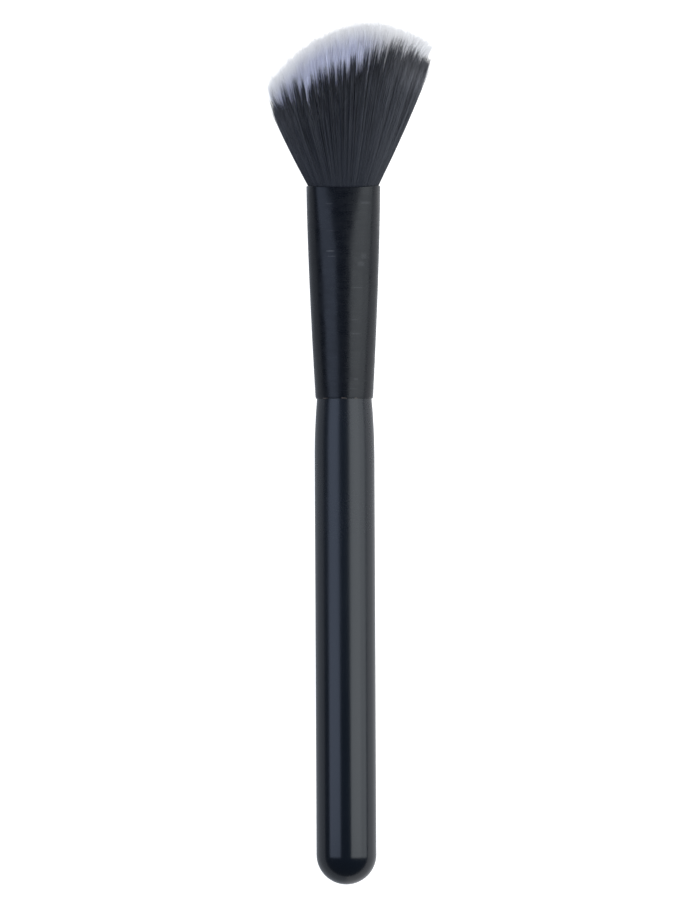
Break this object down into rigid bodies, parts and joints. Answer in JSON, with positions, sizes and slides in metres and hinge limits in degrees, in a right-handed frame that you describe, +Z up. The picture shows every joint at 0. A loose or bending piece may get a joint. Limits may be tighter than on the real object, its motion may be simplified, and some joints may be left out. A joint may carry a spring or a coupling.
{
  "type": "angled blush brush",
  "caption": "Angled blush brush: straight round handle, oval tapered ferrule and a slanted fan of dark bristles with pale tips.",
  "frame": {"origin": "centre of the handle's rounded butt, on the brush's axis, with the brush lying flat", "axes": "+Y along the brush from the butt to the bristle tips, +X across the width of the head towards its high side, +Z up from the surface it lies on"},
  "size_m": [0.0341, 0.1795, 0.0139],
  "materials": {
    "lacquered_wood": "satin black lacquer with a faint blue cast",
    "black_ferrule": "satin black coating with fine turned lines",
    "handle_adhesive": "set contact adhesive",
    "root_resin": "clear amber epoxy",
    "dark_filament": "soft synthetic filament, dark slate",
    "pale_filament": "soft synthetic filament, pale lilac grey"
  },
  "bodies": {
    "root": {"handle": "lacquered_wood", "ferrule": "black_ferrule", "handle_glue": "handle_adhesive", "root_resin": "root_resin", "dark_bristles": "dark_filament", "pale_bristles": "pale_filament"}
  },
  "joints": []
}
